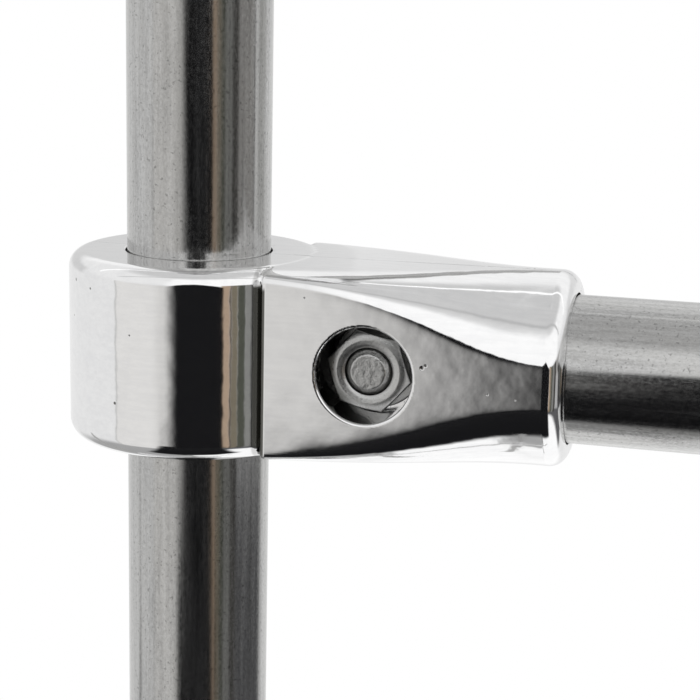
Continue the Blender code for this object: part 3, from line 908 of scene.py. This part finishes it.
def zinc_plate():
    """Dull plated steel with fine scratches every way. The bolt's end is dented too."""
    material, tree, inputs = start_material("zinc_plate", (0.45, 0.45, 0.44), 1.0)
    spot = own_spot(tree)
    grain = tree.noise(spot, 2.6, 4.0, 0.7)
    scratch = 0.0
    for turn in (0.3, 1.5, 2.6):
        along = (math.cos(turn), math.sin(turn), 0)
        over = (-math.sin(turn), math.cos(turn), 0)
        drawn_out = tree.math("MULTIPLY", tree.dot(spot, along), 0.12)
        line = tree.add("CombineXYZ", drawn_out, tree.dot(spot, over), 0.0)
        scratch = tree.math("MAXIMUM", scratch, tree.noise(line.outputs[0], 3.2, 3.0, 0.7))
    tree.set(inputs["Base Color"], tree.mix(grain, (0.36, 0.36, 0.355), (0.64, 0.64, 0.63)))
    tree.set(inputs["Roughness"], tree.math("MULTIPLY_ADD", grain, 0.2, 0.2))
    height = tree.math("MULTIPLY_ADD", scratch, 0.04, tree.math("MULTIPLY", grain, 0.035))
    bolt_end = tree.step(tree.dot(spot, (0, 0, 1)), BOLT_END - 0.8, 0.4)
    dents = tree.math("MULTIPLY", tree.noise(spot, 0.7, 3.0, 0.6), bolt_end)
    height = tree.math("MULTIPLY_ADD", dents, 0.16, height)
    tree.set(inputs["Normal"], bump(tree, height))
    return material


def black_plastic():
    material, tree, inputs = start_material("black_plastic", (0.018, 0.018, 0.019), 0.0)
    grain = tree.noise(own_spot(tree), 3.0, 2.0)
    tree.set(inputs["Roughness"], tree.math("MULTIPLY_ADD", grain, 0.15, 0.36))
    tree.set(inputs["Normal"], bump(tree, tree.math("MULTIPLY", grain, 0.02)))
    return material


def nylon():
    material, tree, inputs = start_material("nylon", (0.05, 0.05, 0.05), 0.0)
    grain = tree.noise(own_spot(tree), 1.2, 3.0)
    tree.set(inputs["Roughness"], tree.math("MULTIPLY_ADD", grain, 0.2, 0.45))
    return material


CAST = chrome_casting()
TUBE = chrome_tube()
PLATED = zinc_plate()
NYLON = nylon()
PLASTIC = black_plastic()


# --- studio ----------------------------------------------------------------------------------------

VIEW_TURN = math.radians(14.262)  # the camera's bearing from the clamp, from -Y towards +X
VIEW_RISE = math.radians(12.77)  # and its rise above the horizon
VIEW_ROLL = math.radians(1.23)
VIEW_SPOT = Vector((0.106226, -0.308084, 0.072283))  # camera, in metres from the clamp's centre
VIEW_LENS = 95.59
SENSOR = 36.0

# What the chrome mirrors, in degrees as seen from the clamp. ROUND cards give a bearing, from the
# camera's side to its right, and a rise above the horizon. LANE cards run straight under the clamp
# towards the camera: an angle to the lane's right, then one down from the camera's side.
ROUND, LANE = "round", "lane"
CARDS = (
    # name, kind, (from, to), (from, to), softness, colour
    ("ceiling left", ROUND, (-150, -15), (9, 66), 9.0, (0.94, 0.94, 0.94)),
    ("ceiling front", ROUND, (-24, 72), (9, 51), 5.0, (1.14, 1.14, 1.14)),
    ("ceiling back left", ROUND, (-181, -150), (20, 62), 9.0, (1.05, 1.05, 1.05)),
    ("ceiling back right", ROUND, (72, 181), (20, 62), 9.0, (1.05, 1.05, 1.05)),
    ("zenith", ROUND, (-181, 181), (56, 91), 8.0, (0.68, 0.68, 0.68)),
    ("back wall left", ROUND, (-181, -118), (0, 19), 5.0, (0.71, 0.71, 0.71)),
    ("back wall right", ROUND, (118, 181), (0, 19), 5.0, (0.80, 0.80, 0.80)),
    ("strip light", LANE, (-60, 60), (109.4, 111.8), 0.8, (1.5, 1.5, 1.5)),
    ("ceiling edge", LANE, (-60, 60), (62.0, 65.6), 1.5, (0.56, 0.56, 0.56)),
    ("floor", ROUND, (-181, 181), (-91, -34), 8.0, (1.14, 1.14, 1.14)),
    ("floor left", ROUND, (-150, -14), (-91, -30), 9.0, (0.42, 0.42, 0.42)),
    ("left panel", ROUND, (-73, -10), (-34, 5), 1.2, (0.84, 0.83, 0.815)),
    ("panel shade", ROUND, (-33, -10), (-34, 5), 6.0, (0.72, 0.71, 0.695)),
    ("panel edge", ROUND, (-74.2, -72.4), (-33, 5), 0.7, (0.60, 0.60, 0.59)),
    ("right far", ROUND, (108, 130), (-34, 6), 5.0, (0.55, 0.55, 0.54)),
    ("right wall", ROUND, (52, 99), (-14, 9), 3.0, (0.37, 0.36, 0.35)),
    ("right floor", ROUND, (27, 126), (-36, -15), 4.0, (0.115, 0.115, 0.12)),
    ("wall edge", ROUND, (99, 101.5), (-34, 9), 0.6, (0.08, 0.08, 0.08)),
    ("cabinet", ROUND, (56.5, 68), (-26, 9), 1.2, (0.065, 0.062, 0.058)),
    ("grey door", ROUND, (45.7, 56.5), (-26, 9), 0.8, (0.25, 0.25, 0.24)),
    ("door gap", ROUND, (51.0, 52.0), (-26, 9), 0.5, (0.06, 0.06, 0.06)),
    ("green door", ROUND, (38.4, 45.7), (-26, 9), 0.9, (0.078, 0.082, 0.066)),
    ("beige frame", ROUND, (33.0, 38.4), (-26, 9), 0.7, (0.20, 0.175, 0.13)),
    ("frame gap", ROUND, (31.4, 33.0), (-26, 9), 0.5, (0.07, 0.055, 0.04)),
    ("arm", ROUND, (24.0, 31.4), (-26, 9), 0.8, (0.44, 0.33, 0.24)),
    ("dark lane", LANE, (-28, 25.4), (-77, -19), 3.6, (0.010, 0.010, 0.011)),
)
UNLIT = (0.89, 0.89, 0.89)  # what is mirrored where no card is

# A dark figure near enough for the arm and the collar to mirror it differently, in metres and degrees
FIGURE_AWAY = 0.95
FIGURE_LEFT = -20.5
FIGURE_RIGHT = 25.4
FIGURE_LOW = -24.0
FIGURE_HIGH = 19.5
FIGURE_SPAN = 0.6  # half the width at which its round top would reach its foot
FIGURE_POWER = 1.6  # how square its shoulders are; 2 is a circle
FIGURE_SOFT = 0.02
FIGURE_SOFT_LEFT = 0.125

FLOOR_R = 2.3
FLOOR_FADE = 1.45  # distance at which the floor is half clear
FLOOR_SOFT = 0.8

RIGHT = Vector((math.cos(VIEW_TURN), math.sin(VIEW_TURN), 0))
TOWARD = Vector((math.sin(VIEW_TURN), -math.cos(VIEW_TURN), 0))


def build_world():
    """White to the camera and to matt finishes. Mirror finishes see the cards, each over those before."""
    world = bpy.data.worlds.new("studio")
    bpy.context.scene.world = world
    world.use_nodes = True
    world.node_tree.nodes.clear()
    tree = Tree(world.node_tree)
    ray = tree.add("TexCoord").outputs["Generated"]
    to_right = tree.dot(ray, RIGHT)
    to_camera = tree.dot(ray, TOWARD)
    up = tree.dot(ray, (0, 0, 1))
    angles = {
        ROUND: (
            tree.math("DEGREES", tree.math("ARCTAN2", to_right, to_camera)),
            tree.math("DEGREES", tree.math("ARCSINE", up)),
        ),
        LANE: (
            tree.math("DEGREES", tree.math("ARCSINE", to_right)),
            tree.math("DEGREES", tree.math("ARCTAN2", up, to_camera)),
        ),
    }
    colour = UNLIT
    for name, kind, (left, right), (low, high), soft, tint in CARDS:
        across, rise = angles[kind]
        beside = tree.window(across, left, right, soft)
        share = tree.math("MULTIPLY", beside, tree.window(rise, low, high, max(soft, 1.5)))
        colour = tree.mix(share, colour, tint)
        colour.node.label = name
    mirrored = tree.add("Background", colour)
    plain = tree.add("Background", (1, 1, 1, 1))
    path = tree.add("LightPath")
    mixed = tree.add("MixShader", path.outputs["Is Glossy Ray"], plain.outputs[0], mirrored.outputs[0])
    tree.add("OutputWorld", mixed.outputs[0])


def figure_sides():
    """Left, right, low and high, in metres from the figure's centre."""
    angles = (FIGURE_LEFT, FIGURE_RIGHT, FIGURE_LOW, FIGURE_HIGH)
    return [FIGURE_AWAY * math.tan(math.radians(angle)) for angle in angles]


def figure_material(centre):
    """Dark within the figure's outline, and clear round it."""
    left, right, low, high = figure_sides()
    soft = FIGURE_SOFT
    material = bpy.data.materials.new("figure")
    material.use_nodes = True
    material.node_tree.nodes.clear()
    tree = Tree(material.node_tree)
    spot = tree.add("NewGeometry").outputs["Position"]
    across = tree.math("SUBTRACT", tree.dot(spot, RIGHT), centre.dot(RIGHT))
    rise = tree.math("SUBTRACT", tree.dot(spot, (0, 0, 1)), centre.z)
    aside = tree.math("DIVIDE", tree.math("ABSOLUTE", across), FIGURE_SPAN)
    share = tree.math("SUBTRACT", 1.0, tree.math("POWER", aside, FIGURE_POWER))
    top = tree.math("MULTIPLY_ADD", tree.math("POWER", share, 1.0 / FIGURE_POWER), high - low, low)
    left_of_right = tree.math("SUBTRACT", 1.0, tree.step(across, right, soft))
    inside = tree.math("MULTIPLY", tree.step(across, left, FIGURE_SOFT_LEFT), left_of_right)
    under = tree.math("SUBTRACT", 1.0, tree.step(tree.math("SUBTRACT", rise, top), 0.0, soft))
    share = tree.math("MULTIPLY", inside, tree.math("MULTIPLY", under, tree.step(rise, low, soft)))
    clear = tree.add("BsdfTransparent")
    dark = tree.add("Emission", (0.006, 0.006, 0.007, 1))
    mixed = tree.add("MixShader", share, clear.outputs[0], dark.outputs[0])
    tree.add("OutputMaterial", mixed.outputs[0])
    return material


def build_figure():
    """A dark figure behind the camera, which only the mirror finishes see."""
    left, right, low, high = figure_sides()
    left -= FIGURE_SOFT_LEFT
    right += FIGURE_SOFT
    low -= FIGURE_SOFT
    high += FIGURE_SOFT
    centre = clamp_place(HERO).translation + TOWARD * FIGURE_AWAY
    corners = ((left, low), (right, low), (right, high), (left, high))
    mesh = bpy.data.meshes.new("figure")
    mesh.from_pydata([centre + RIGHT * a + Vector((0, 0, b)) for a, b in corners], [], [(0, 1, 2, 3)])
    mesh.materials.append(figure_material(centre))
    figure = bpy.data.objects.new("figure", mesh)
    bpy.context.scene.collection.objects.link(figure)
    figure.visible_camera = False
    figure.visible_diffuse = False
    figure.visible_shadow = False
    figure.visible_transmission = False


def build_camera():
    """Close to the hero's clamp, a little above it and to its right."""
    data = bpy.data.cameras.new("camera")
    data.lens = VIEW_LENS
    data.sensor_width = SENSOR
    data.clip_start = 0.01
    data.clip_end = 50
    camera = bpy.data.objects.new("camera", data)
    bpy.context.scene.collection.objects.link(camera)
    bpy.context.scene.camera = camera
    back = TOWARD * math.cos(VIEW_RISE) + Vector((0, 0, math.sin(VIEW_RISE)))
    up = back.cross(RIGHT)
    leaned_right = RIGHT * math.cos(VIEW_ROLL) + up * math.sin(VIEW_ROLL)
    leaned_up = up * math.cos(VIEW_ROLL) - RIGHT * math.sin(VIEW_ROLL)
    place = Matrix((leaned_right, leaned_up, back)).transposed().to_4x4()
    place.translation = clamp_place(HERO).translation + VIEW_SPOT
    camera.matrix_world = place


def build_floor():
    """A pale matt disc that fades out before its edge."""
    here = (0, 0, CAD_LOW.z)
    bpy.ops.mesh.primitive_circle_add(vertices=96, radius=FLOOR_R, fill_type="NGON", location=here)
    floor = bpy.context.object
    floor.name = "floor"
    floor.visible_glossy = False
    material = new_material("floor", (0.85, 0.85, 0.85), 0.0, 0.8)
    tree = Tree(material.node_tree)
    spot = tree.add("NewGeometry").outputs["Position"]
    away = tree.add("VectorMath", tree.scaled(spot, (1, 1, 0)), operation="LENGTH").outputs["Value"]
    clear = tree.add("BsdfTransparent")
    matt = tree.nodes["Principled BSDF"].outputs[0]
    faded = tree.add("MixShader", tree.step(away, FLOOR_FADE, FLOOR_SOFT), matt, clear.outputs[0])
    tree.set(tree.nodes["Material Output"].inputs["Surface"], faded.outputs[0])
    floor.data.materials.append(material)


bpy.context.scene.view_settings.view_transform = "Standard"
build_clamps()
build_stand()
build_world()
build_camera()
build_figure()
build_floor()
